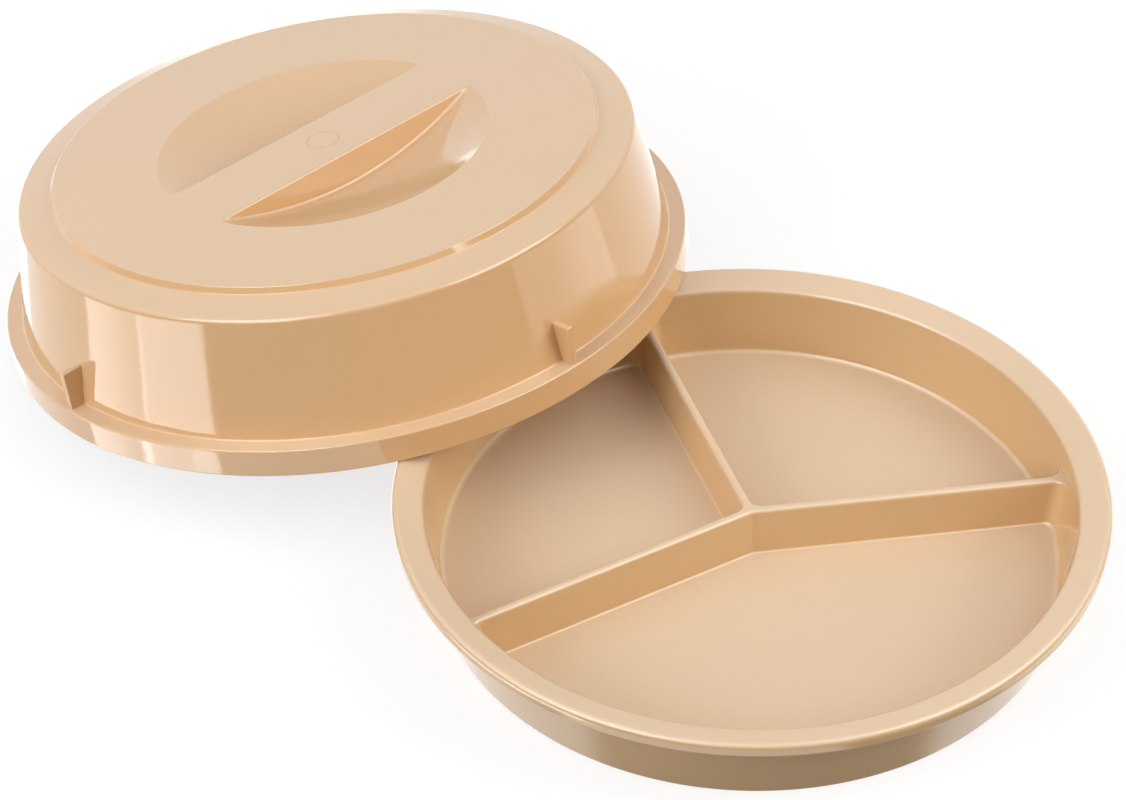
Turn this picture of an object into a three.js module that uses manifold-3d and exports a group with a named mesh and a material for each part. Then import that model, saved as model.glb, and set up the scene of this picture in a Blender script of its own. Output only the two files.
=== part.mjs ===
// Round compartment dish with a three-armed partition, and its high lid with a sunk finger grip.
// The dish's rim slopes up to its outer edge. The lid is off: it leans on the rim with its low edge on the table.
// Millimetres, +Z up. The origin is the centre of the dish's base, on the table. The lid lies towards -X.

import * as THREE from 'three';
import { mergeVertices } from 'three/addons/utils/BufferGeometryUtils.js';
import Module from 'manifold-3d';

const wasm = await Module();
wasm.setup();

// Dish sizes
const dishRimRadius = 115;
const dishHeight = 32.6;
const dishRimWidth = 10.3;
const dishRimSlope = 19.5;
const dishRimThickness = 4.3;
const dishWall = 2.8;
const dishWallDraft = 9.8;
const dishFloor = 2.8;
const dishFootHeight = 3.4;
const dishFootWidth = 3.4;
const rimInnerRound = 2.4;
const rimOuterRound = 1.8;
const rimUnderRound = 0.8;
const rimUnderFillet = 2;
const floorFillet = 2.4;
const footRound = 0.8;

// Partition sizes: the first arm points along partitionTurn, with an equal compartment on each side of it.
// The arms meet a little way from the dish's axis, on the side away from the first arm.
const partitionTurn = 152.1;
const sideCompartmentAngle = 100.9;
const partitionOffset = 0.9;
const partitionHeight = 16.5;
const partitionTopWidth = 3.2;
const partitionDraft = 4.4;
const partitionTopRound = 1;
const partitionFootFillet = 0.8;
const partitionJunctionRound = 4;

// Lid sizes
const lidWall = 3;
const lidFitPlay = 4;
const lidSkirtHeight = 10;
const lidLedgeWidth = 6;
const lidWallDraft = 10.2;
const lidCrownHeight = 51.6;
const lidCrownBand = 12;
const lidDiscHeight = 56.2;
const lidStepHeight = 2.2;
const lidStepRun = 1.2;
const lidStepRound = 0.5;
const lidCrownRound = 2.2;
const lidLedgeFillet = 0.8;
const lidEdgeRound = 0.6;
const lidInnerFillet = 1.5;

// Grip sizes: a round shallow bowl in the disc, crossed by a straight bar
const scoopRadius = 58.4;
const scoopDepth = 12;
const gripBarWidth = 28.4;
const gripBarDraft = 9;

// Stacking ribs, one in line with each end of the bar and one on each side
const ribCount = 4;
const ribHeight = 14;
const ribThickness = 2.3;
const ribInset = 1;

// How the lid leans: its edge reaches this far over the rim, and it is turned a little about its own axis
const lidOverlap = 46.9;
const lidTurn = -2.5;
const seatClearance = 0.3;
const steepestTilt = 60;

// Facets
const roundSegments = 72;
const filletSteps = 3;
const bowlSteps = 8;
const seatSamples = 720;
const halvings = 50;

// Finish
const beigePlastic = { color: 0xdfc09a, roughness: 0.22, metalness: 0 };

// Sizes that follow from the driving ones
const dishFloorTop = dishFootHeight + dishFloor;
const rimRise = Math.tan(radians(dishRimSlope));
const rimOuterCorner = dishHeight + rimOuterRound * (rimRise + Math.hypot(1, rimRise) - 1);
const rimInnerCorner = rimOuterCorner - dishRimWidth * rimRise;
const partitionTop = dishFloorTop + partitionHeight;
const lidSkirtRadius = dishRimRadius + lidFitPlay + lidWall;
const lidLedgeRoot = lidSkirtRadius - lidLedgeWidth;
const lidCrownRadius = lidWallRadius(lidCrownHeight);
const lidStepFoot = lidCrownRadius - lidCrownBand;
const lidDiscRadius = lidStepFoot - lidStepRun;
const lidOffset = dishRimRadius + lidSkirtRadius - lidOverlap;
const bowlSphere = (scoopRadius ** 2 + scoopDepth ** 2) / (2 * scoopDepth);
const bowlCentre = lidDiscHeight - scoopDepth + bowlSphere;

function radians(angle) {
  return THREE.MathUtils.degToRad(angle);
}

function direction(angle) {
  return new THREE.Vector2(Math.cos(angle), Math.sin(angle));
}

// The dish's wall, inside and outside, at a height above the table
function dishInside(height) {
  return dishRimRadius - dishRimWidth - (rimInnerCorner - height) * Math.tan(radians(dishWallDraft));
}

function dishOutside(height) {
  return dishInside(height) + dishWall / Math.cos(radians(dishWallDraft));
}

// The outside of the lid's wall at a height above the foot of its skirt
function lidWallRadius(height) {
  return lidLedgeRoot - (height - lidSkirtHeight) * Math.tan(radians(lidWallDraft));
}

// Replaces each corner [radius, height, round] of a profile by an arc that takes up half of a side at most
function roundedProfile(corners) {
  return corners.flatMap(([x, y, round], index) => {
    const corner = new THREE.Vector2(x, y);
    if (!round) {
      return [corner];
    }
    const back = new THREE.Vector2(...corners[index - 1]).sub(corner);
    const ahead = new THREE.Vector2(...corners[index + 1]).sub(corner);
    const half = Math.abs(Math.atan2(back.cross(ahead), back.dot(ahead))) / 2;
    const cut = Math.min(round / Math.tan(half), back.length() / 2, ahead.length() / 2);
    const radius = cut * Math.tan(half);
    const start = back.setLength(cut);
    const end = ahead.setLength(cut);
    const centre = start.clone().add(end).setLength(Math.hypot(cut, radius));
    const from = start.sub(centre);
    const sweep = Math.atan2(from.cross(end.sub(centre)), from.dot(end));
    return Array.from({ length: filletSteps + 1 }, (_, step) =>
      from.clone().rotateAround(new THREE.Vector2(), (sweep * step) / filletSteps).add(centre).add(corner));
  });
}

// The corners of a profile moved into the material by a wall, so that the wall is even all along
function insetProfile(corners, wall) {
  const sides = corners.slice(1).map(([x, y], index) => {
    const start = new THREE.Vector2(...corners[index]);
    const along = new THREE.Vector2(x, y).sub(start).normalize();
    const inward = new THREE.Vector2(along.y, -along.x);
    return { along, point: start.addScaledVector(inward, wall) };
  });
  const last = sides.at(-1);
  const drop = (corners.at(-1)[1] - last.point.y) / last.along.y;
  const end = last.point.clone().addScaledVector(last.along, drop);
  const bends = sides.slice(1).map((side, index) => {
    const before = sides[index];
    const reach = side.point.clone().sub(before.point).cross(side.along) / before.along.cross(side.along);
    return before.point.clone().addScaledVector(before.along, reach);
  });
  return [sides[0].point, ...bends, end].map((point) => point.toArray());
}

// A closed body from a geometry whose shared vertices are joined
function body(geometry) {
  geometry.deleteAttribute('normal');
  geometry.deleteAttribute('uv');
  const joined = mergeVertices(geometry);
  const index = joined.index.array;
  const corners = [];
  for (let at = 0; at < index.length; at += 3) {
    const [a, b, c] = index.slice(at, at + 3);
    if (a !== b && b !== c && c !== a) {
      corners.push(a, b, c);
    }
  }
  const vertProperties = new Float32Array(joined.attributes.position.array);
  return new wasm.Manifold(new wasm.Mesh({ numProp: 3, vertProperties, triVerts: new Uint32Array(corners) }));
}

// A profile from axis to axis, listed from the top down, turned about Z
function revolve(profile) {
  const points = [...profile].reverse();
  points[0].x = 0;
  points.at(-1).x = 0;
  return body(new THREE.LatheGeometry(points, roundSegments).rotateX(Math.PI / 2));
}

// A flat outline in X and Z, drawn out along Y to a length that is centred on the X-Z plane
function prism(outline, length) {
  const shape = new THREE.Shape(outline.map(([x, z]) => new THREE.Vector2(x, z)));
  const geometry = new THREE.ExtrudeGeometry(shape, { depth: length, bevelEnabled: false });
  return geometry.translate(0, 0, -length / 2).rotateX(Math.PI / 2);
}

// A body through a stack of level outlines with as many points each, listed from the bottom up
function loft(rings) {
  const count = rings[0].outline.length;
  const last = count * (rings.length - 1);
  const points = rings.flatMap(({ outline, height }) => outline.flatMap(({ x, y }) => [x, y, height]));
  const cap = THREE.ShapeUtils.triangulateShape(rings[0].outline, []);
  const floor = cap.flatMap(([a, b, c]) => [c, b, a]);
  const roof = cap.flatMap(([a, b, c]) => [a + last, b + last, c + last]);
  const sides = Array.from({ length: last }, (_, at) => {
    const next = (at + 1) % count === 0 ? at + 1 - count : at + 1;
    return [at, next, next + count, at, next + count, at + count];
  }).flat();
  const geometry = new THREE.BufferGeometry();
  geometry.setAttribute('position', new THREE.Float32BufferAttribute(points, 3));
  geometry.setIndex([...floor, ...roof, ...sides]);
  return body(geometry);
}

function finished(name, manifold) {
  const { vertProperties, triVerts } = manifold.getMesh();
  const geometry = new THREE.BufferGeometry();
  geometry.setAttribute('position', new THREE.BufferAttribute(vertProperties, 3));
  geometry.setIndex(new THREE.BufferAttribute(triVerts, 1));
  geometry.computeVertexNormals();
  const mesh = new THREE.Mesh(geometry, new THREE.MeshStandardMaterial(beigePlastic));
  mesh.name = name;
  return mesh;
}

// The partition's outline at a height: three arms that run into the wall, with rounded inner corners.
// Its sides are spread by as much as a fillet or a rounded edge adds or takes there.
function partitionOutline(height, spread) {
  const draft = (partitionTop - height) * Math.tan(radians(partitionDraft));
  const half = partitionTopWidth / 2 + draft + spread;
  const reach = dishInside(height) + dishWall / 2;
  const junction = direction(radians(partitionTurn)).multiplyScalar(-partitionOffset);
  const turns = [0, sideCompartmentAngle, 360 - sideCompartmentAngle, 360];
  return turns.slice(0, -1).flatMap((turn, arm) => {
    const facing = radians(partitionTurn + turn);
    const gap = radians(turns[arm + 1] - turn);
    const along = direction(facing);
    const side = direction(facing + Math.PI / 2).multiplyScalar(half);
    const shift = junction.dot(along);
    const tip = along.multiplyScalar(Math.sqrt(reach ** 2 - partitionOffset ** 2 + shift ** 2) - shift);
    const away = (half + partitionJunctionRound) / Math.sin(gap / 2);
    const centre = direction(facing + gap / 2).multiplyScalar(away);
    const corner = Array.from({ length: filletSteps + 1 }, (_, step) => {
      const turned = facing - Math.PI / 2 - ((Math.PI - gap) * step) / filletSteps;
      return direction(turned).multiplyScalar(partitionJunctionRound).add(centre);
    });
    return [tip.clone().sub(side), tip.clone().add(side), ...corner].map((point) => point.add(junction));
  });
}

// The partition from its root in the floor, over the foot's fillet, to the rounded top edges
function makePartition() {
  const topRound = Math.min(partitionTopRound, partitionTopWidth / 3);
  const levels = [{ height: dishFloorTop - dishFloor / 2, spread: partitionFootFillet }];
  for (let step = 0; step <= filletSteps; step++) {
    const angle = (Math.PI / 2) * (step / filletSteps);
    const rise = partitionFootFillet * (1 - Math.cos(angle));
    const spread = partitionFootFillet * (1 - Math.sin(angle));
    levels.push({ height: dishFloorTop + rise, spread });
  }
  for (let step = 0; step <= filletSteps; step++) {
    const angle = (Math.PI / 2) * (step / filletSteps);
    const drop = topRound * (1 - Math.sin(angle));
    const spread = topRound * (Math.cos(angle) - 1);
    levels.push({ height: partitionTop - drop, spread });
  }
  return loft(levels.map(({ height, spread }) => ({ height, outline: partitionOutline(height, spread) })));
}

function makeDish() {
  const rimUnder = dishHeight - dishRimThickness;
  const footInside = dishOutside(0) - dishFootWidth;
  const bowl = revolve(roundedProfile([
    [0, dishFloorTop],
    [dishInside(dishFloorTop), dishFloorTop, floorFillet],
    [dishInside(rimInnerCorner), rimInnerCorner, rimInnerRound],
    [dishRimRadius, rimOuterCorner, rimOuterRound],
    [dishRimRadius, rimUnder, rimUnderRound],
    [dishOutside(rimUnder), rimUnder, rimUnderFillet],
    [dishOutside(0), 0, footRound],
    [footInside, 0, footRound],
    [footInside, dishFootHeight, footRound],
    [0, dishFootHeight],
  ]));
  return finished('dish', bowl.add(makePartition()));
}

// The lid's shell, with an even wall from the disc to the foot of the skirt
function lidShell() {
  const outside = [
    [0, lidDiscHeight],
    [lidDiscRadius, lidDiscHeight],
    [lidStepFoot, lidDiscHeight - lidStepHeight],
    [lidCrownRadius, lidCrownHeight],
    [lidLedgeRoot, lidSkirtHeight],
    [lidSkirtRadius, lidSkirtHeight],
    [lidSkirtRadius, 0],
  ];
  const inside = insetProfile(outside, lidWall);
  const top = [0, lidStepRound, lidStepRound];
  const foot = [lidEdgeRound, lidEdgeRound];
  const outsideRounds = [...top, lidCrownRound, lidLedgeFillet, ...foot];
  const insideRounds = [...top, lidInnerFillet, lidInnerFillet, ...foot];
  return revolve(roundedProfile([
    ...outside.map((corner, index) => [...corner, outsideRounds[index]]),
    ...inside.map((corner, index) => [...corner, insideRounds[index]]).reverse(),
  ]));
}

// A cap of a ball about the bowl's centre, flat at a height, with its side carried up to a roof
function ballCap(radius, flat, roof) {
  const edge = Math.acos((bowlCentre - flat) / radius);
  const arc = Array.from({ length: bowlSteps + 1 }, (_, step) => {
    const angle = (edge * (bowlSteps - step)) / bowlSteps;
    return new THREE.Vector2(radius * Math.sin(angle), bowlCentre - radius * Math.cos(angle));
  });
  const sides = roof > flat ? [new THREE.Vector2(arc[0].x, roof)] : [];
  return revolve([new THREE.Vector2(0, roof), ...sides, ...arc]);
}

// A bar along Y whose sides spread downwards from a width at the disc's top
function gripBar(width, bottom, top) {
  const half = (height) => width / 2 + (lidDiscHeight - height) * Math.tan(radians(gripBarDraft));
  const foot = [[-half(bottom), bottom], [half(bottom), bottom]];
  const flush = [[half(top), top], [-half(top), top]];
  return body(prism([...foot, ...flush], 2 * lidDiscRadius));
}

// A rib from the ledge up the lid's wall, its root sunk to half of both
function stackingRib(turn) {
  const bottom = lidSkirtHeight - lidWall / 2;
  const top = lidSkirtHeight + ribHeight;
  const outer = lidSkirtRadius - ribInset;
  const outline = [
    [lidWallRadius(bottom) - lidWall / 2, bottom],
    [outer, bottom],
    [outer, top],
    [lidWallRadius(top) - lidWall / 2, top],
  ];
  return body(prism(outline, ribThickness).rotateZ(turn));
}

function makeLid() {
  const above = lidDiscHeight + lidWall;
  const below = lidDiscHeight - scoopDepth - 2 * lidWall;
  const disc = lidDiscHeight - lidWall;
  const hollowWidth = gripBarWidth - (2 * lidWall) / Math.cos(radians(gripBarDraft));
  const halfDisc = lidDiscHeight - lidWall / 2;
  const bar = gripBar(gripBarWidth, below, above);
  const barHollow = gripBar(hollowWidth, below, disc);
  const scoops = ballCap(bowlSphere, lidDiscHeight, above).subtract(bar);
  const scoopWalls = ballCap(bowlSphere + lidWall, halfDisc, halfDisc).subtract(barHollow);
  let lid = lidShell().add(scoopWalls).subtract(scoops);
  for (let rib = 0; rib < ribCount; rib++) {
    lid = lid.add(stackingRib((2 * Math.PI * rib) / ribCount));
  }
  return finished('lid', lid);
}

// Height of the rim's top at a distance from the dish's axis: its slope, then the round at its outer edge
function rimHeight(reach) {
  const past = reach - (dishRimRadius - rimOuterRound);
  if (past < -rimOuterRound * Math.sin(radians(dishRimSlope))) {
    return rimOuterCorner - (dishRimRadius - reach) * rimRise;
  }
  return dishHeight - rimOuterRound + Math.sqrt(rimOuterRound ** 2 - past ** 2);
}

// Least height of the skirt's foot over the rim when the lid is tipped by an angle about its low edge
function seatGap(tilt) {
  let least = Infinity;
  for (const ring of [lidSkirtRadius - lidWall, lidSkirtRadius]) {
    for (let sample = 0; sample <= seatSamples; sample++) {
      const turn = (Math.PI * sample) / seatSamples;
      const reach = Math.hypot(ring * Math.cos(turn) * Math.cos(tilt) - lidOffset, ring * Math.sin(turn));
      if (reach >= dishInside(rimInnerCorner) && reach <= dishRimRadius) {
        least = Math.min(least, (lidSkirtRadius + ring * Math.cos(turn)) * Math.sin(tilt) - rimHeight(reach));
      }
    }
  }
  return least;
}

// The tilt at which the skirt's foot rests on the rim, found by halving
function seatTilt() {
  let low = 0;
  let high = radians(steepestTilt);
  for (let halving = 0; halving < halvings; halving++) {
    const middle = (low + high) / 2;
    if (seatGap(middle) < seatClearance) {
      low = middle;
    } else {
      high = middle;
    }
  }
  return high;
}

function leaningLid() {
  const lid = makeLid();
  lid.rotation.z = radians(lidTurn);
  const tilt = seatTilt();
  const lean = new THREE.Group();
  lean.rotation.y = -tilt;
  lean.position.set(-lidOffset, 0, lidSkirtRadius * Math.sin(tilt));
  lean.add(lid);
  return lean;
}

const compartmentDish = new THREE.Group();
compartmentDish.add(makeDish(), leaningLid());

export default compartmentDish;
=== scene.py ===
import math

import bmesh
import bpy
from mathutils import Matrix, Vector


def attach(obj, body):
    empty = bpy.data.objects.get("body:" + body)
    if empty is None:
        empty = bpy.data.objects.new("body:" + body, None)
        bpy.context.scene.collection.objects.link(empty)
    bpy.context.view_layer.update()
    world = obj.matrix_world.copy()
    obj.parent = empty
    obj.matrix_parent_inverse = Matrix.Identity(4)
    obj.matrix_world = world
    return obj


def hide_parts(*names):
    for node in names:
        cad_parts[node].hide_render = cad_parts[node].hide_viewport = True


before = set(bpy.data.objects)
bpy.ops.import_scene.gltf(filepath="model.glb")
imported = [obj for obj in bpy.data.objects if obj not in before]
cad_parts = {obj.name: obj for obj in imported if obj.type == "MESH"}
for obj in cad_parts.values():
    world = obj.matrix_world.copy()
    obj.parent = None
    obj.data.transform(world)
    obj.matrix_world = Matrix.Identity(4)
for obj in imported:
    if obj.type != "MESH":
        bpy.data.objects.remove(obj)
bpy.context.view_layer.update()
mm = 0.001
seamGap = 2e-6  # metres, between points that are one
gridGap = 1e-7  # the same in a turned grid
print("frame loaded:", sorted(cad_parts))

# camera, at the photograph's view
photoView = {
    "place": (0.45528, -0.53664, 0.65708),  # metres
    "right": (0.718562, 0.695102, -0.022409),
    "up": (-0.433987, 0.473347, 0.766549),
    "lens": 93.657,
    "sensor": 36.0,
}


def addCamera(view):
    data = bpy.data.cameras.new("photoCamera")
    data.sensor_fit = "HORIZONTAL"
    data.sensor_width = view["sensor"]
    data.lens = view["lens"]
    camera = bpy.data.objects.new("photoCamera", data)
    bpy.context.scene.collection.objects.link(camera)
    right, up = Vector(view["right"]).normalized(), Vector(view["up"]).normalized()
    turn = Matrix((right, up, right.cross(up))).transposed()
    camera.matrix_world = Matrix.Translation(view["place"]) @ turn.to_4x4()
    bpy.context.scene.camera = camera


addCamera(photoView)
print("camera placed")


# shader maths: a wire is an output socket, and sums on wires add Math nodes
class Wire:
    def __init__(self, tree, socket):
        self.tree = tree
        self.socket = socket

    def node(self, kind, settings=None, values=None, out=0):
        made = self.tree.nodes.new(kind)
        for name, value in (settings or {}).items():
            setattr(made, name, value)
        for name, value in (values or {}).items():
            if isinstance(value, Wire):
                self.tree.links.new(value.socket, made.inputs[name])
            else:
                made.inputs[name].default_value = value
        return Wire(self.tree, made.outputs[out] if made.outputs else None)

    def sum(self, operation, first, second):
        return self.node("ShaderNodeMath", {"operation": operation}, {0: first, 1: second})

    def __add__(self, other):
        return self.sum("ADD", self, other)

    def __radd__(self, other):
        return self.sum("ADD", other, self)

    def __sub__(self, other):
        return self.sum("SUBTRACT", self, other)

    def __rsub__(self, other):
        return self.sum("SUBTRACT", other, self)

    def __mul__(self, other):
        return self.sum("MULTIPLY", self, other)

    def __rmul__(self, other):
        return self.sum("MULTIPLY", other, self)


def emptyTree(tree):
    tree.nodes.clear()
    return Wire(tree, None)


# glossy beige mouldings: an even tone with a faint flow of the melt, faces that look up painted paler as painted
# light from above, and a skin that isn't quite level
lidLook = {
    "tone": (0.642, 0.384, 0.180, 1.0),
    "paleTone": (0.664, 0.402, 0.192, 1.0),
    "paintedTopTone": (0.702, 0.485, 0.294, 1.0),  # painted light: faces that look up are painted paler, standing in for the light falling on them from above
    "paleLeast": 0.9,  # share of that tone, and how much the flow adds to it
    "paleSpread": 0.2,
    "flowScale": 14.0,  # per metre
    "flowDetail": 3.0,
    "flowWarp": 1.6,
    "roughness": 0.06,
    "roughnessSpread": 0.03,
    "wear": 0.02,  # how much rougher those faces are
    "ior": 1.5,
    "skinScale": 420.0,
    "skinDetail": 1.0,
    "skinHeight": 0.00002,
    "grainScale": 3600.0,
    "grainDetail": 2.0,
    "grainMiddle": 0.5,
    "grainHeight": 0.000004,
}

# the dish's floors and rim are duller
dishLook = {
    **lidLook,
    "tone": (0.605, 0.388, 0.186, 1.0),
    "paleTone": (0.627, 0.406, 0.198, 1.0),
    # painted light: the dish's up-facing faces are painted paler, for the light from above
    "paintedTopTone": (0.690, 0.508, 0.334, 1.0),
    "roughness": 0.12,
    "wear": 0.30,
    "ior": 1.58,
}


def plasticFinish(name, look):
    material = bpy.data.materials.new(name)
    material.use_nodes = True
    start = emptyTree(material.node_tree)
    place = start.node("ShaderNodeTexCoord", out="Object")
    level = start.node("ShaderNodeAttribute", {"attribute_name": "upFace"}, out="Fac")

    def noise(kind, **more):
        values = {"Vector": place, "Scale": look[kind + "Scale"], "Detail": look[kind + "Detail"], **more}
        return start.node("ShaderNodeTexNoise", values=values)

    def mixed(share, first, second):
        return start.node("ShaderNodeMix", {"data_type": "RGBA"}, {0: share, 6: first, 7: second}, out=2)

    flow, skin, grain = noise("flow", Distortion=look["flowWarp"]), noise("skin"), noise("grain")
    # painted light: faces that look up are mixed towards a paler tone, standing in for the light from above
    pale = level * (look["paleLeast"] + look["paleSpread"] * flow)
    tone = mixed(pale, mixed(flow, look["tone"], look["paleTone"]), look["paintedTopTone"])
    height = skin * look["skinHeight"] + grain * look["grainHeight"]
    bump = start.node("ShaderNodeBump", values={"Height": height, "Distance": 1.0, "Strength": 1.0})
    spread = (grain - look["grainMiddle"]) * look["roughnessSpread"]
    gloss = look["roughness"] + spread + level * look["wear"]
    surface = start.node(
        "ShaderNodeBsdfPrincipled",
        values={"Base Color": tone, "Roughness": gloss, "IOR": look["ior"], "Normal": bump},
    )
    start.node("ShaderNodeOutputMaterial", values={"Surface": surface})
    return material


# profiles: corners (across, height, round) become a run of points with an arc at each round
def arcPoints(centre, radius, first, last, steps):
    angles = [math.radians(first + (last - first) * step / steps) for step in range(steps + 1)]
    return [(centre[0] + radius * math.cos(a), centre[1] + radius * math.sin(a)) for a in angles]


def roundedRun(corners, steps):
    run = []
    for index, (x, y, rounding) in enumerate(corners):
        corner = Vector((x, y))
        if not rounding:
            run.append(corner)
            continue
        back = Vector(corners[index - 1][:2]) - corner
        ahead = Vector(corners[index + 1][:2]) - corner
        half = back.angle(ahead) / 2
        cut = min(rounding / math.tan(half), back.length / 2, ahead.length / 2)
        radius = cut * math.tan(half)
        toCentre = (back.normalized() + ahead.normalized()).normalized() * math.hypot(cut, radius)
        start, end = back.normalized() * cut - toCentre, ahead.normalized() * cut - toCentre
        sweep = math.atan2(start.x * end.y - start.y * end.x, start.dot(end))
        for step in range(steps + 1):
            angle = sweep * step / steps
            turned = Matrix.Rotation(angle, 2) @ start
            run.append(corner + toCentre + turned)
    return [(p[0], p[1]) for p in run]


def insetRun(corners, wall):
    sides = []
    for first, second in zip(corners, corners[1:]):
        along = (Vector(second) - Vector(first)).normalized()
        sides.append((Vector(first) + Vector((along.y, -along.x)) * wall, along))
    inner = [sides[0][0]]
    for (place, along), (nextPlace, nextAlong) in zip(sides, sides[1:]):
        gap = nextPlace - place
        reach = (gap.x * nextAlong.y - gap.y * nextAlong.x) / (along.x * nextAlong.y - along.y * nextAlong.x)
        inner.append(place + along * reach)
    place, along = sides[-1]
    inner.append(place + along * ((corners[-1][1] - place.y) / along.y))
    return [tuple(p) for p in inner]


# turned surfaces: a grid whose rows take their place from a profile and its columns from a list of angles
def nodeInputs(tree, wanted):
    tree.interface.new_socket("Geometry", in_out="OUTPUT", socket_type="NodeSocketGeometry")
    tree.interface.new_socket("Geometry", in_out="INPUT", socket_type="NodeSocketGeometry")
    for name, kind in wanted:
        tree.interface.new_socket(name, in_out="INPUT", socket_type="NodeSocket" + kind)
    source = tree.nodes.new("NodeGroupInput")
    return {item.name: Wire(tree, item) for item in source.outputs if item.name}


def objectShape(source):
    return source.node("GeometryNodeObjectInfo", {"transform_space": "ORIGINAL"}, {"Object": source}, out="Geometry")


# realized and with its material, since an export drops instances
def endTree(shape, material):
    real = shape.node("GeometryNodeRealizeInstances", values={"Geometry": shape})
    dressed = shape.node("GeometryNodeSetMaterial", values={"Geometry": real, "Material": material})
    shape.node("NodeGroupOutput", values={0: dressed})


def turnedTree():
    tree = bpy.data.node_groups.new("turnedSurface", "GeometryNodeTree")
    wanted = (
        ("Profile", "Object"),
        ("Angles", "Object"),
        ("Profile Points", "Int"),
        ("Angle Count", "Int"),
        ("Material", "Material"),
    )
    given = nodeInputs(tree, wanted)
    points, columns = given["Profile Points"], given["Angle Count"]
    start = points
    counts = {"Vertices X": points, "Vertices Y": columns + 1}
    grid = start.node("GeometryNodeMeshGrid", values={"Size X": 1.0, "Size Y": 1.0, **counts})
    place = start.node("GeometryNodeInputPosition")
    split = start.node("ShaderNodeSeparateXYZ", values={0: place})
    across = Wire(tree, split.socket.node.outputs["X"])
    around = Wire(tree, split.socket.node.outputs["Y"])
    row = start.node("ShaderNodeMath", {"operation": "ROUND"}, {0: (across + 0.5) * (points - 1)})
    column = start.node("ShaderNodeMath", {"operation": "ROUND"}, {0: (around + 0.5) * columns})
    column = start.sum("MODULO", column, columns)

    def picked(source, index):
        shape = objectShape(given[source])
        chosen = {"data_type": "FLOAT_VECTOR", "domain": "POINT"}
        return start.node("GeometryNodeSampleIndex", chosen, {"Geometry": shape, "Value": place, "Index": index})

    spot = start.node("ShaderNodeSeparateXYZ", values={0: picked("Profile", row)}).socket.node
    angle = start.node("ShaderNodeSeparateXYZ", values={0: picked("Angles", column)})
    reach, height = Wire(tree, spot.outputs["X"]), Wire(tree, spot.outputs["Z"])
    cosine = start.node("ShaderNodeMath", {"operation": "COSINE"}, {0: angle})
    sine = start.node("ShaderNodeMath", {"operation": "SINE"}, {0: angle})
    target = start.node("ShaderNodeCombineXYZ", values={0: reach * cosine, 1: reach * sine, 2: height})
    turned = start.node("GeometryNodeSetPosition", values={"Geometry": grid, "Position": target})
    closed = start.node("GeometryNodeMergeByDistance", values={"Geometry": turned, "Distance": gridGap})
    endTree(closed, given["Material"])
    return tree


def pointCloud(name, points):
    mesh = bpy.data.meshes.new(name)
    mesh.from_pydata(points, [], [])
    cloud = bpy.data.objects.new(name, mesh)
    bpy.context.scene.collection.objects.link(cloud)
    return cloud


def grown(name, tree, values, helpers):
    host = bpy.data.objects.new(name, bpy.data.meshes.new(name))
    bpy.context.scene.collection.objects.link(host)
    modifier = host.modifiers.new("nodes", "NODES")
    modifier.node_group = tree
    for item in tree.interface.items_tree:
        if item.in_out == "INPUT" and item.name in values:
            modifier[item.identifier] = values[item.name]
    view = bpy.context.evaluated_depsgraph_get()
    view.update()
    mesh = bpy.data.meshes.new_from_object(host.evaluated_get(view))
    for scratch in (host, *helpers):
        bpy.data.objects.remove(scratch)
    return mesh


turnedSurface = turnedTree()


def turned(name, run, angles, material):
    profile = pointCloud(name + "Profile", [(x * mm, 0, z * mm) for x, z in run])
    spread = pointCloud(name + "Angles", [(a, 0, 0) for a in angles])
    values = {
        "Profile": profile,
        "Angles": spread,
        "Profile Points": len(run),
        "Angle Count": len(angles),
        "Material": material,
    }
    return grown(name, turnedSurface, values, (profile, spread))


# mesh helpers
def addGrid(shape, rows, closed=False):
    made = [[shape.verts.new(Vector(point) * mm) for point in row] for row in rows]
    for low, high in zip(made, made[1:]):
        count = len(low)
        for at in range(count if closed else count - 1):
            after = (at + 1) % count
            shape.faces.new((low[at], high[at], high[after], low[after]))


def fillLevel(shape, height):
    level = height * mm
    edges = [e for e in shape.edges if e.is_boundary and all(abs(v.co.z - level) < seamGap for v in e.verts)]
    bmesh.ops.triangle_fill(shape, use_beauty=True, use_dissolve=False, edges=edges)


def joinSeams(shape):
    bmesh.ops.remove_doubles(shape, verts=shape.verts, dist=seamGap)


pieceShading = {
    "levelFrom": 0.5,  # upward part of a face's normal where it starts to look up
    "levelRange": 0.35,
    "sharpAngle": 34.0,
    "weight": 80,
}


def finishedPiece(name, shape, place, material, body, nodes, share=lambda spot: 1.0):
    bmesh.ops.recalc_face_normals(shape, faces=shape.faces)
    openEdges = sum(1 for e in shape.edges if not e.is_manifold)
    mesh = bpy.data.meshes.new(name)
    shape.to_mesh(mesh)
    shape.free()
    upFace = mesh.attributes.new("upFace", "FLOAT", "FACE")  # 1 on faces that look up; the finish paints these paler as painted light from above, and makes them rougher
    least, span = pieceShading["levelFrom"], pieceShading["levelRange"]
    rises = [min(share(f.center), max(0.0, (f.normal.z - least) / span)) for f in mesh.polygons]
    upFace.data.foreach_set("value", rises)
    mesh.transform(place)
    mesh.materials.append(material)
    mesh.polygons.foreach_set("use_smooth", [True] * len(mesh.polygons))
    mesh.polygons.foreach_set("material_index", [0] * len(mesh.polygons))  # turned faces come with another
    mesh.set_sharp_from_angle(angle=math.radians(pieceShading["sharpAngle"]))
    piece = bpy.data.objects.new(name, mesh)
    bpy.context.scene.collection.objects.link(piece)
    shading = piece.modifiers.new("evenShading", "WEIGHTED_NORMAL")
    shading.keep_sharp = True
    shading.weight = pieceShading["weight"]
    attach(piece, body)
    if nodes:
        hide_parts(*nodes)
    print(name, "has", len(mesh.polygons), "faces and", openEdges, "open edges")
    return piece


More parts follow.
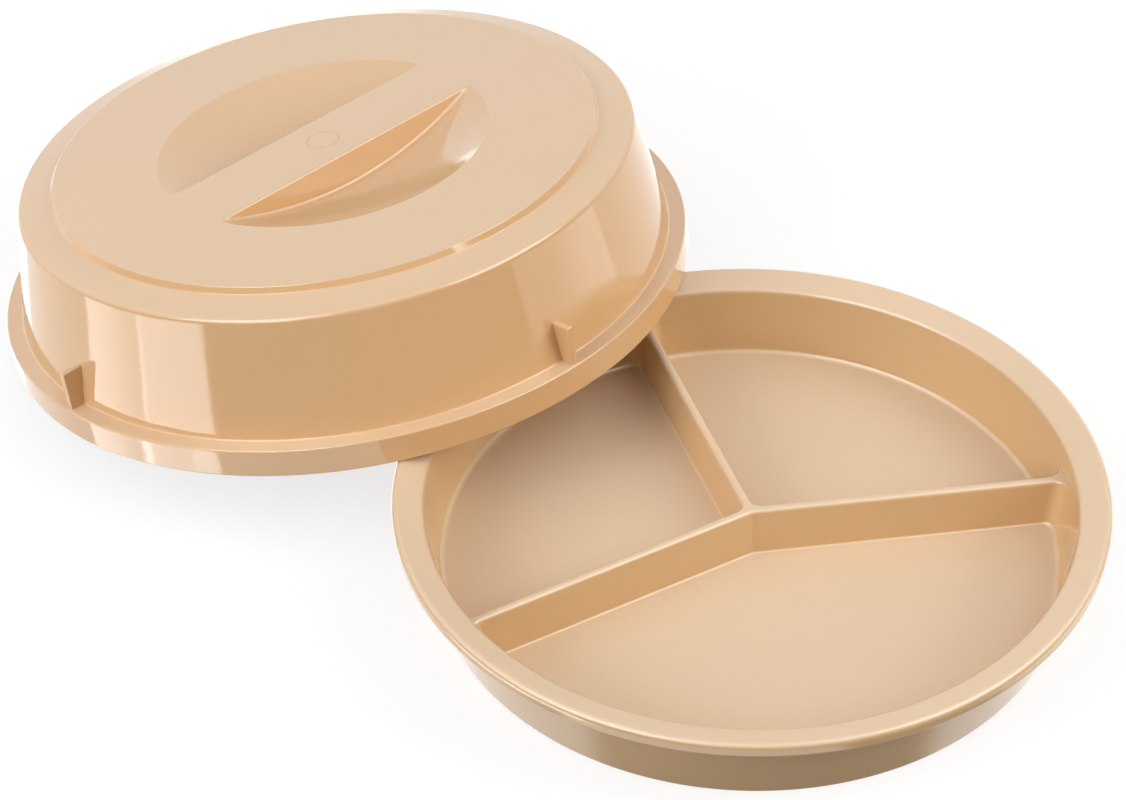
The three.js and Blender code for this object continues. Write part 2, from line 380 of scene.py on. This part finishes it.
# dish
dishSizes = {
    "rimRadius": 115.0,
    "height": 32.6,
    "rimWidth": 10.3,
    "rimSlope": 19.5,
    "rimThickness": 4.3,
    "wall": 2.8,
    "wallDraft": 9.8,
    "floorTop": 6.2,
    "footHeight": 3.4,
    "footWidth": 3.4,
    "footFloor": 3.2,  # level run inside the foot ring, up to the filled middle
    "rimInnerRound": 2.4,
    "rimOuterRound": 1.8,
    "rimUnderRound": 0.8,
    "rimUnderFillet": 2.0,
    "floorFillet": 2.4,
    "footRound": 0.8,
    "arcSteps": 6,
    "wallStep": 1.5,  # degrees between the points along the wall
}

partitionSizes = {
    "turn": 152.1,
    "sideAngle": 100.9,
    "offset": 0.9,
    "height": 16.5,
    "topWidth": 3.2,
    "draft": 4.4,
    "topRound": 1.4,
    "footFillet": 0.9,
    "junctionRound": 4.0,
    "wallCorner": 4.2,
    "leastCorner": 0.5,
    "armPoints": 8,
    "cornerPoints": 8,
    "endPoints": 4,
}


# heights at which the rim's slope meets its outer face and the wall
def rimCorners():
    d = dishSizes
    rise = math.tan(math.radians(d["rimSlope"]))
    outer = d["height"] + d["rimOuterRound"] * (rise + math.hypot(1, rise) - 1)
    return outer, outer - d["rimWidth"] * rise


def dishInside(height):
    d = dishSizes
    return d["rimRadius"] - d["rimWidth"] - (rimCorners()[1] - height) * math.tan(math.radians(d["wallDraft"]))


def dishOutside(height):
    return dishInside(height) + dishSizes["wall"] / math.cos(math.radians(dishSizes["wallDraft"]))


def partitionTop():
    return dishSizes["floorTop"] + partitionSizes["height"]


def armSide(height):
    p = partitionSizes
    return p["topWidth"] / 2 + (partitionTop() - height) * math.tan(math.radians(p["draft"]))


# each level of a compartment: how far its sides are from the arms' middles and from the axis, and at what heights
def compartmentLevels():
    d, p = dishSizes, partitionSizes
    floor, steps = d["floorTop"], d["arcSteps"]
    armDraft, wallDraft = p["draft"], d["wallDraft"]
    foot, bowl = p["footFillet"], d["floorFillet"]
    armCentre = (armSide(floor + foot) + foot / math.cos(math.radians(armDraft)), floor + foot)
    wallCentre = (dishInside(floor + bowl) - bowl / math.cos(math.radians(wallDraft)), floor + bowl)
    armRun = arcPoints(armCentre, foot, -90, armDraft - 180, steps)
    wallRun = arcPoints(wallCentre, bowl, -90, -wallDraft, steps)
    top, edge = partitionTop(), p["topRound"]
    edgeCentre = (armSide(top - edge) - edge / math.cos(math.radians(armDraft)), top - edge)
    edgeRun = arcPoints(edgeCentre, edge, armDraft, 90, steps)
    armRun += edgeRun
    wallRun += [(dishInside(z), z) for _, z in edgeRun]
    levels = []
    for (side, armZ), (reach, wallZ) in zip(armRun, wallRun):
        armIn, wallIn = side - armSide(armZ), dishInside(wallZ) - reach
        levels.append({"side": side, "armZ": armZ, "reach": reach, "wallZ": wallZ, "armIn": armIn, "wallIn": wallIn})
    return levels


def flat(angle):
    return Vector((math.cos(angle), math.sin(angle)))


# the outline of the compartment between two arms at one level, anticlockwise, and the ends of its run along the wall
def compartmentOutline(level, firstArm, secondArm):
    p = partitionSizes
    junction = flat(math.radians(p["turn"])) * -p["offset"]
    gap = secondArm - firstArm
    corner = max(p["leastCorner"], p["wallCorner"] - (level["armIn"] + level["wallIn"]) / 2)
    inner = p["junctionRound"] - level["armIn"]
    reach = level["reach"]

    def wallCorner(arm, hand):  # the round between an arm's side and the wall
        along, across = flat(arm), flat(arm + hand * math.pi / 2)
        base = junction + across * (level["side"] + corner)
        far = math.sqrt((reach - corner) ** 2 - base.length_squared + base.dot(along) ** 2) - base.dot(along)
        return base + along * far

    first, second = wallCorner(firstArm, 1), wallCorner(secondArm, -1)
    firstEnd, secondEnd = math.atan2(first.y, first.x), math.atan2(second.y, second.x)
    firstEnd = firstArm + math.remainder(firstEnd - firstArm, 2 * math.pi)
    secondEnd = secondArm + math.remainder(secondEnd - secondArm, 2 * math.pi)
    middle = junction + flat((firstArm + secondArm) / 2) * (level["side"] + inner) / math.sin(gap / 2)

    def arc(centre, radius, start, end, low, high, count):
        run = []
        for step in range(count + 1):
            share = step / count
            spot = centre + flat(start + (end - start) * share) * radius
            run.append((spot.x, spot.y, low + (high - low) * share))
        return run

    armZ, wallZ = level["armZ"], level["wallZ"]
    wallCount = round(math.degrees(gap) / dishSizes["wallStep"])
    quarter = math.pi / 2
    firstRound = arc(first, corner, firstArm - quarter, firstEnd, armZ, wallZ, p["cornerPoints"])
    wallRun = arc(Vector((0, 0)), reach, firstEnd, secondEnd, wallZ, wallZ, wallCount)
    secondRound = arc(second, corner, secondEnd, secondArm + quarter, wallZ, armZ, p["cornerPoints"])
    junctionRound = arc(middle, inner, secondArm + quarter, firstArm + 3 * quarter, armZ, armZ, p["cornerPoints"])

    def between(start, end):
        count = p["armPoints"]
        return [tuple(Vector(start).lerp(Vector(end), step / count)) for step in range(1, count)]

    outline = firstRound + wallRun[1:] + secondRound[1:]
    outline += between(secondRound[-1], junctionRound[0]) + junctionRound
    outline += between(junctionRound[-1], firstRound[0])
    return outline, firstEnd, secondEnd, wallCount


def makeDish(material):
    d, p = dishSizes, partitionSizes
    shape = bmesh.new()
    levels = compartmentLevels()
    arms = [math.radians(p["turn"] + a) for a in (0, p["sideAngle"], 360 - p["sideAngle"], 360)]
    angles, ends = [], []
    for firstArm, secondArm in zip(arms, arms[1:]):
        rows = []
        for level in levels:
            outline, firstEnd, secondEnd, wallCount = compartmentOutline(level, firstArm, secondArm)
            rows.append(outline)
        addGrid(shape, rows, closed=True)
        ends.append((firstEnd, secondEnd, wallCount))
    for index, (firstEnd, secondEnd, wallCount) in enumerate(ends):
        angles += [firstEnd + (secondEnd - firstEnd) * step / wallCount for step in range(wallCount + 1)]
        following = ends[(index + 1) % len(ends)][0] + (2 * math.pi if index + 1 == len(ends) else 0)
        count = p["endPoints"]
        angles += [secondEnd + (following - secondEnd) * step / count for step in range(1, count)]
    rimOuter, rimInner = rimCorners()
    rimUnder = d["height"] - d["rimThickness"]
    footInside = dishOutside(0) - d["footWidth"]
    run = roundedRun(
        [
            (dishInside(partitionTop()), partitionTop(), 0),
            (dishInside(rimInner), rimInner, d["rimInnerRound"]),
            (d["rimRadius"], rimOuter, d["rimOuterRound"]),
            (d["rimRadius"], rimUnder, d["rimUnderRound"]),
            (dishOutside(rimUnder), rimUnder, d["rimUnderFillet"]),
            (dishOutside(0), 0, d["footRound"]),
            (footInside, 0, d["footRound"]),
            (footInside, d["footHeight"], d["footRound"]),
            (footInside - d["footFloor"], d["footHeight"], 0),
        ],
        d["arcSteps"],
    )
    turnedPart = turned("dishTurned", run, angles, material)
    shape.from_mesh(turnedPart)
    bpy.data.meshes.remove(turnedPart)
    joinSeams(shape)
    for height in (d["floorTop"], partitionTop(), d["footHeight"]):
        fillLevel(shape, height)
    return finishedPiece("dish_body", shape, Matrix.Identity(4), material, "dish", ["dish"])


# lid
lidSizes = {
    "skirtRadius": 122.0,
    "skirtHeight": 10.0,
    "wall": 3.0,
    "ledgeWidth": 6.0,
    "wallDraft": 10.2,
    "crownHeight": 51.6,
    "crownBand": 12.0,
    "discHeight": 56.2,
    "discEdge": 4.0,  # level run at the disc's edge, up to the filled middle
    "stepHeight": 2.2,
    "stepRun": 1.2,
    "stepRound": 0.5,
    "crownRound": 2.2,
    "ledgeFillet": 0.8,
    "edgeRound": 0.6,
    "innerFillet": 1.5,
    "segments": 288,
    "arcSteps": 5,
    "offset": 190.1,  # from the dish's axis
    "tilt": 8.557,
    "turn": -2.5,
}

gripSizes = {
    "radius": 58.7,
    "depth": 12.0,
    "lipRound": 1.8,
    "underLip": 0.2,
    "scoopLevelDepth": 0.02,  # below the disc, where the scoops' own share starts, and that share of the disc's painted top light and wear roughness
    "scoopLevelShare": 0.6,
    "barWidth": 28.4,
    "barDraft": 9.0,
    "barRound": 0.8,
    "creaseRound": 1.4,
    "underRounds": (0.6, 4.5),  # bar edge and crease on the underside
    "rows": 96,
    "barSteps": 4,
    "creaseSteps": 6,
    "bowlPoints": 16,
    "lipSteps": 6,
    "searchSteps": 40,  # where the crease touches the bowl: points tried, and how far out in crease rounds
    "searchSpan": 0.7,
    "settleRounds": 26,
}

# a shallow ring and a stub that the moulding leaves on the bar, as radius and rise
gateMark = {
    "groove": ((6.0, 0.0), (5.8, -0.14), (5.6, -0.18), (5.4, -0.14), (5.2, 0.0)),
    "stub": ((0.8, 0.0), (0.66, 0.2), (0.36, 0.3)),
    "stubPlace": (2.7, -2.9),
    "segments": 48,
}


def lidWallRadius(height):
    z = lidSizes
    root = z["skirtRadius"] - z["ledgeWidth"]
    return root - (height - z["skirtHeight"]) * math.tan(math.radians(z["wallDraft"]))


def lidPlace():
    z = lidSizes
    tilt = math.radians(z["tilt"])
    lift = Vector((-z["offset"], 0, z["skirtRadius"] * math.sin(tilt))) * mm
    lean = Matrix.Rotation(-tilt, 4, "Y") @ Matrix.Rotation(math.radians(z["turn"]), 4, "Z")
    return Matrix.Translation(lift) @ lean


# one side of the bowl beside the bar, as rows across it: bar edge, bar side, crease, bowl and lip
def scoopRows(flatTop, sphere, centre, lipRound, barHalf, barRound, creaseRound, hand):
    g = gripSizes
    steepest = math.radians(90 - g["barDraft"])
    lipX = math.sqrt((sphere + lipRound) ** 2 - (centre - flatTop + lipRound) ** 2)
    lipStart = lipX * sphere / (sphere + lipRound)
    tip = math.sqrt(lipX ** 2 - barHalf ** 2)

    def bowl(x, y):
        reach = math.hypot(x, y)
        if reach >= lipX:
            return flatTop
        if reach > lipStart:
            return flatTop - lipRound + math.sqrt(lipRound ** 2 - (lipX - reach) ** 2)
        return centre - math.sqrt(sphere ** 2 - reach ** 2)

    def edgeFoot(slope, drop):  # the centre of the crease's round, below the bar's edge and side
        x = barHalf + barRound * (math.sin(slope) - math.tan(slope / 2)) + drop * math.cos(slope)
        z = flatTop - barRound * (1 - math.cos(slope)) - drop * math.sin(slope)
        return x + creaseRound * math.sin(slope), z + creaseRound * math.cos(slope)

    def touch(slope, drop, y):  # how far the crease's round is above the bowl, and where it is nearest
        x, z = edgeFoot(slope, drop)
        count = g["searchSteps"]
        spots = [x + creaseRound * g["searchSpan"] * step / count for step in range(count + 1)]
        return min((math.hypot(spot - x, bowl(spot, y) - z) - creaseRound, spot) for spot in spots)

    def settled(high, y, deep):
        low = 0.0
        for _ in range(g["settleRounds"]):
            middle = (low + high) / 2
            slope, drop = (steepest, middle) if deep else (middle, 0.0)
            x, z = edgeFoot(slope, drop)
            if touch(slope, drop, y)[0] > 0 and bowl(x, y) < z:
                low = middle
            else:
                high = middle
        return (steepest, low) if deep else (low, 0.0)

    rows = []
    barSteps, creaseSteps, bowlPoints, lipSteps = (
        g[name] for name in ("barSteps", "creaseSteps", "bowlPoints", "lipSteps")
    )
    rowPoints = barSteps + 1 + creaseSteps + 1 + bowlPoints + lipSteps
    for row in range(g["rows"] + 1):
        y = tip * math.sin(math.pi * (row / g["rows"] - 0.5))
        if row in (0, g["rows"]):
            rows.append([(hand * barHalf, y, flatTop)] * rowPoints)
            continue
        deep = touch(steepest, 0.0, y)[0] > 0
        slope, drop = settled(g["depth"] if deep else steepest, y, deep)
        x, z = edgeFoot(slope, drop)
        spot = touch(slope, drop, y)[1]
        begin = barHalf - barRound * math.tan(slope / 2)
        upper = [slope * step / barSteps for step in range(barSteps + 1)]
        points = [(begin + barRound * math.sin(a), flatTop - barRound * (1 - math.cos(a))) for a in upper]
        last = math.degrees(math.atan2(bowl(spot, y) - z, spot - x)) + 360
        points += arcPoints((x, z), creaseRound, 270 - math.degrees(slope), last, creaseSteps)
        points[-1] = (spot, bowl(spot, y))
        finish = max(spot, math.sqrt(max(0.0, lipStart ** 2 - y ** 2)))
        for step in range(1, bowlPoints + 1):
            across = spot + (finish - spot) * step / bowlPoints
            points.append((across, bowl(across, y)))
        for step in range(1, lipSteps + 1):
            reach = lipStart + (lipX - lipStart) * step / lipSteps
            across = max(spot, math.sqrt(max(0.0, reach ** 2 - y ** 2)))
            points.append((across, bowl(across, y)))
        rows.append([(hand * x, y, z) for x, z in points])
    return rows


def addRings(shape, rings, place, height):
    count = gateMark["segments"]
    rows = []
    for reach, rise in rings:
        spots = [flat(2 * math.pi * step / count) * reach for step in range(count)]
        rows.append([(place[0] + spot.x, place[1] + spot.y, height + rise) for spot in spots])
    addGrid(shape, rows, closed=True)


def makeLid(material):
    z, g = lidSizes, gripSizes
    shape = bmesh.new()
    crown = lidWallRadius(z["crownHeight"])
    stepFoot = crown - z["crownBand"]
    disc = stepFoot - z["stepRun"]
    root = z["skirtRadius"] - z["ledgeWidth"]
    outside = [
        (disc - z["discEdge"], z["discHeight"]),
        (disc, z["discHeight"]),
        (stepFoot, z["discHeight"] - z["stepHeight"]),
        (crown, z["crownHeight"]),
        (root, z["skirtHeight"]),
        (z["skirtRadius"], z["skirtHeight"]),
        (z["skirtRadius"], 0.0),
    ]
    inside = insetRun(outside, z["wall"])
    stepRounds, edgeRounds = (z["stepRound"],) * 2, (z["edgeRound"],) * 2
    outerRounds = (0, *stepRounds, z["crownRound"], z["ledgeFillet"], *edgeRounds)
    innerRounds = (0, *stepRounds, z["innerFillet"], z["innerFillet"], *edgeRounds)
    corners = [(*spot, rounding) for spot, rounding in zip(outside, outerRounds)]
    corners += [(*spot, rounding) for spot, rounding in zip(inside, innerRounds)][::-1]
    run = roundedRun(corners, z["arcSteps"])
    angles = [2 * math.pi * step / z["segments"] for step in range(z["segments"])]
    turnedPart = turned("lidTurned", run, angles, material)
    shape.from_mesh(turnedPart)
    bpy.data.meshes.remove(turnedPart)
    sphere = (g["radius"] ** 2 + g["depth"] ** 2) / (2 * g["depth"]) - g["lipRound"]
    centre = z["discHeight"] - g["depth"] + sphere
    barHalf = g["barWidth"] / 2
    under = z["discHeight"] - z["wall"]
    slant = math.radians(g["barDraft"])
    underHalf = barHalf + z["wall"] * math.tan(slant) - z["wall"] / math.cos(slant)
    for hand in (1, -1):
        above = (z["discHeight"], sphere, centre, g["lipRound"], barHalf, g["barRound"], g["creaseRound"], hand)
        below = (under, sphere + z["wall"], centre, g["underLip"], underHalf, *g["underRounds"], hand)
        addGrid(shape, scoopRows(*above))
        addGrid(shape, scoopRows(*below))
    addRings(shape, gateMark["groove"], (0.0, 0.0), z["discHeight"])
    addRings(shape, gateMark["stub"], gateMark["stubPlace"], z["discHeight"])
    joinSeams(shape)
    fillLevel(shape, z["discHeight"] + gateMark["stub"][-1][1])
    fillLevel(shape, z["discHeight"])
    fillLevel(shape, under)

    def scoopLevelCap(spot):  # the scoops take only part of the painted top light and of the wear roughness, so they are less pale and glossier than the disc round them
        inScoop = spot.xy.length < g["radius"] * mm and spot.z < (z["discHeight"] - g["scoopLevelDepth"]) * mm
        return g["scoopLevelShare"] if inScoop else 1.0

    return finishedPiece("lid_shell", shape, lidPlace(), material, "lid", ["lid"], scoopLevelCap)


# ribs round the lid's ledge
ribSizes = {
    "count": 4,
    "height": 14.0,
    "thickness": 2.3,
    "inset": 1.0,
    "sink": 1.5,
    "edgeRound": 0.5,
    "edgeSteps": 4,
    "edgeProfile": 0.5,  # a round one
}


def ribTree():
    tree = bpy.data.node_groups.new("ribRing", "GeometryNodeTree")
    given = nodeInputs(tree, (("Rib", "Object"), ("Count", "Int"), ("Material", "Material")))
    start = given["Count"]
    spots = start.node("GeometryNodeMeshLine", {"mode": "OFFSET"}, {"Count": given["Count"], "Offset": (0, 0, 0)})
    number = start.node("GeometryNodeInputIndex")
    share = start.sum("DIVIDE", number * (2 * math.pi), given["Count"])
    turn = start.node("ShaderNodeCombineXYZ", values={2: share})
    rib = objectShape(given["Rib"])
    ring = start.node("GeometryNodeInstanceOnPoints", values={"Points": spots, "Instance": rib, "Rotation": turn})
    endTree(ring, given["Material"])
    return tree


def makeRibs(material):
    r, z = ribSizes, lidSizes
    low, high = z["skirtHeight"] - r["sink"], z["skirtHeight"] + r["height"]
    outer = z["skirtRadius"] - r["inset"]
    outline = [
        (lidWallRadius(low) - r["sink"], low),
        (outer, low),
        (outer, high),
        (lidWallRadius(high) - r["sink"], high),
    ]
    shape = bmesh.new()
    half = r["thickness"] / 2
    near = [shape.verts.new(Vector((x, -half, h)) * mm) for x, h in outline]
    far = [shape.verts.new(Vector((x, half, h)) * mm) for x, h in outline]
    shape.faces.new(near)
    shape.faces.new(far[::-1])
    for at in range(len(outline)):
        after = (at + 1) % len(outline)
        shape.faces.new((near[after], near[at], far[at], far[after]))
    rounds = {"offset": r["edgeRound"] * mm, "segments": r["edgeSteps"], "profile": r["edgeProfile"]}
    bmesh.ops.bevel(shape, geom=shape.edges[:], affect="EDGES", clamp_overlap=True, **rounds)
    mesh = bpy.data.meshes.new("ribPattern")
    shape.to_mesh(mesh)
    shape.free()
    pattern = bpy.data.objects.new("ribPattern", mesh)
    bpy.context.scene.collection.objects.link(pattern)
    ring = grown("ribRing", ribTree(), {"Rib": pattern, "Count": r["count"], "Material": material}, (pattern,))
    shape = bmesh.new()
    shape.from_mesh(ring)
    return finishedPiece("lid_ribs", shape, lidPlace(), material, "lid", [])


dishPlastic = plasticFinish("dishPlastic", dishLook)
lidPlastic = plasticFinish("lidPlastic", lidLook)
makeDish(dishPlastic)
makeLid(lidPlastic)
makeRibs(lidPlastic)
print("pieces made")

# stage: a white table and a pale room
stageLook = {
    "floorSize": 6.0,
    "floorParts": 8,
    "floorDrop": 0.0002,
    "floorColour": 0.3,
    "floorGlow": 0.74,  # the table as the camera sees it: this much of its own and the rest from the lamps
    "floorOwn": 0.3,
    "room": 0.13,
    "frontShine": 0.35,  # the room and the table as reflections see them
    "backShine": 1.45,
    "shineWay": (-0.49, 0.51, 0.707),  # towards the bright side of the room
    "shineEdge": (0.1, 0.6),  # where that side fades in, as a cosine
    "tableShine": 1.5,
    "frontWay": (0.755, -0.656, 0.0),  # towards the dark side of the table
    "frontEdge": (0.0, 0.3),
    "horizonEdge": (-0.02, 0.02),
}


def makeFloor(look):
    shape, parts = bmesh.new(), look["floorParts"]
    bmesh.ops.create_grid(shape, x_segments=parts, y_segments=parts, size=look["floorSize"] / 2)
    mesh = bpy.data.meshes.new("tableTop")
    shape.to_mesh(mesh)
    shape.free()
    mesh.transform(Matrix.Translation((0, 0, -look["floorDrop"])))
    material = bpy.data.materials.new("whiteTable")
    material.use_nodes = True
    start = emptyTree(material.node_tree)
    path = start.node("ShaderNodeLightPath", out="Is Camera Ray")

    def paper(tone):
        return start.node("ShaderNodeBsdfDiffuse", values={"Color": (tone, tone, tone, 1.0)})

    glow = start.node("ShaderNodeEmission", values={"Color": (1, 1, 1, 1), "Strength": look["floorGlow"]})
    seen = start.node("ShaderNodeAddShader", values={0: paper(look["floorOwn"]), 1: glow})
    surface = start.node("ShaderNodeMixShader", values={0: path, 1: paper(look["floorColour"]), 2: seen})
    start.node("ShaderNodeOutputMaterial", values={"Surface": surface})
    mesh.materials.append(material)
    table = bpy.data.objects.new("tableTop", mesh)
    bpy.context.scene.collection.objects.link(table)
    table.visible_glossy = False  # reflections take the table from the room


def makeRoom(look):
    world = bpy.data.worlds.new("paleRoom")
    world.use_nodes = True
    start = emptyTree(world.node_tree)
    path = start.node("ShaderNodeLightPath", out="Is Camera Ray")
    shiny = Wire(world.node_tree, path.socket.node.outputs["Is Glossy Ray"])
    way = start.node("ShaderNodeTexCoord", out="Generated")
    height = Wire(world.node_tree, start.node("ShaderNodeSeparateXYZ", values={0: way}).socket.node.outputs["Z"])

    def eased(value, edge, first, last):
        limits = {"From Min": edge[0], "From Max": edge[1], "To Min": first, "To Max": last}
        return start.node("ShaderNodeMapRange", {"interpolation_type": "SMOOTHSTEP"}, {"Value": value, **limits})

    def toward(view, aim):
        return start.node("ShaderNodeVectorMath", {"operation": "DOT_PRODUCT"}, {0: view, 1: aim}, out="Value")

    flatWay = start.node("ShaderNodeVectorMath", {"operation": "MULTIPLY"}, {0: way, 1: (1, 1, 0)})
    flatWay = start.node("ShaderNodeVectorMath", {"operation": "NORMALIZE"}, {0: flatWay})
    upper = eased(toward(way, look["shineWay"]), look["shineEdge"], look["frontShine"], look["backShine"])
    lower = eased(toward(flatWay, look["frontWay"]), look["frontEdge"], look["tableShine"], look["frontShine"])
    seen = lower + eased(height, look["horizonEdge"], 0.0, 1.0) * (upper - lower)
    strength = look["room"] + shiny * (seen - look["room"])
    strength = strength + path * (1.0 - strength)
    light = start.node("ShaderNodeBackground", values={"Color": (1, 1, 1, 1), "Strength": strength})
    start.node("ShaderNodeOutputWorld", values={"Surface": light})
    bpy.context.scene.world = world


# lamps light the object without showing in it, and cards only show in its reflections
lampAim = (-0.08, 0.0, 0.03)
lampColumns = ("azimuth", "elevation", "distance", "width", "height", "radiance")  # degrees and metres
lampRows = {
    "topSoft": (316.0, 78.0, 1.6, 1.6, 1.6, 0.42),
    "leftFill": (260.0, 24.0, 1.5, 1.0, 0.8, 5.2),
    "rightFill": (32.0, 22.0, 1.5, 1.0, 0.8, 3.95),
    "leftHigh": (232.0, 45.0, 1.5, 1.2, 1.0, 1.68),
    "rightHigh": (36.0, 45.0, 1.5, 1.2, 1.0, 2.22),
    "backFill": (134.0, 10.0, 1.5, 1.2, 0.4, 4.0),
    "frontKey": (316.0, 45.0, 1.6, 1.0, 1.0, 0.4),
}
cardRows = {
    "leftCard": (264.0, 50.0, 1.3, 0.95, 0.7, 7.6),
    "rightCard": (31.0, 50.0, 1.3, 0.95, 0.7, 7.0),
    "leftLowCard": (257.0, -20.0, 1.3, 0.54, 0.9, 5.4),
    "leftFarCard": (234.3, -20.0, 1.3, 0.5, 0.9, 3.4),
    "backLowCard": (150.0, -20.0, 1.3, 1.2, 0.9, 1.4),
    "frontLowCard": (300.0, -35.0, 1.3, 1.6, 0.9, 1.7),
    "rightLowCard": (40.0, -20.0, 1.3, 1.0, 0.9, 1.3),
}
plainTint = (1.0, 1.0, 1.0)
lampTints = {"leftFill": (0.97, 1.0, 1.12)}  # cooler light from the left


def makeLamp(name, row, card):
    look = dict(zip(lampColumns, row))
    azimuth, elevation = math.radians(look["azimuth"]), math.radians(look["elevation"])
    level = math.cos(elevation)
    away = Vector((math.cos(azimuth) * level, math.sin(azimuth) * level, math.sin(elevation)))
    data = bpy.data.lights.new(name, "AREA")
    data.shape = "RECTANGLE"
    data.size, data.size_y = look["width"], look["height"]
    data.energy = look["radiance"] * math.pi * data.size * data.size_y
    data.color = lampTints.get(name, plainTint)
    lamp = bpy.data.objects.new(name, data)
    bpy.context.scene.collection.objects.link(lamp)
    lamp.location = Vector(lampAim) + away * look["distance"]
    lamp.rotation_euler = away.to_track_quat("Z", "Y").to_euler()
    lamp.visible_diffuse = not card
    lamp.visible_glossy = card


makeFloor(stageLook)
makeRoom(stageLook)
for lampName, lampRow in (*lampRows.items(), *cardRows.items()):
    makeLamp(lampName, lampRow, lampName in cardRows)
bpy.context.scene.view_settings.view_transform = "Standard"
print("stage and lamps made")
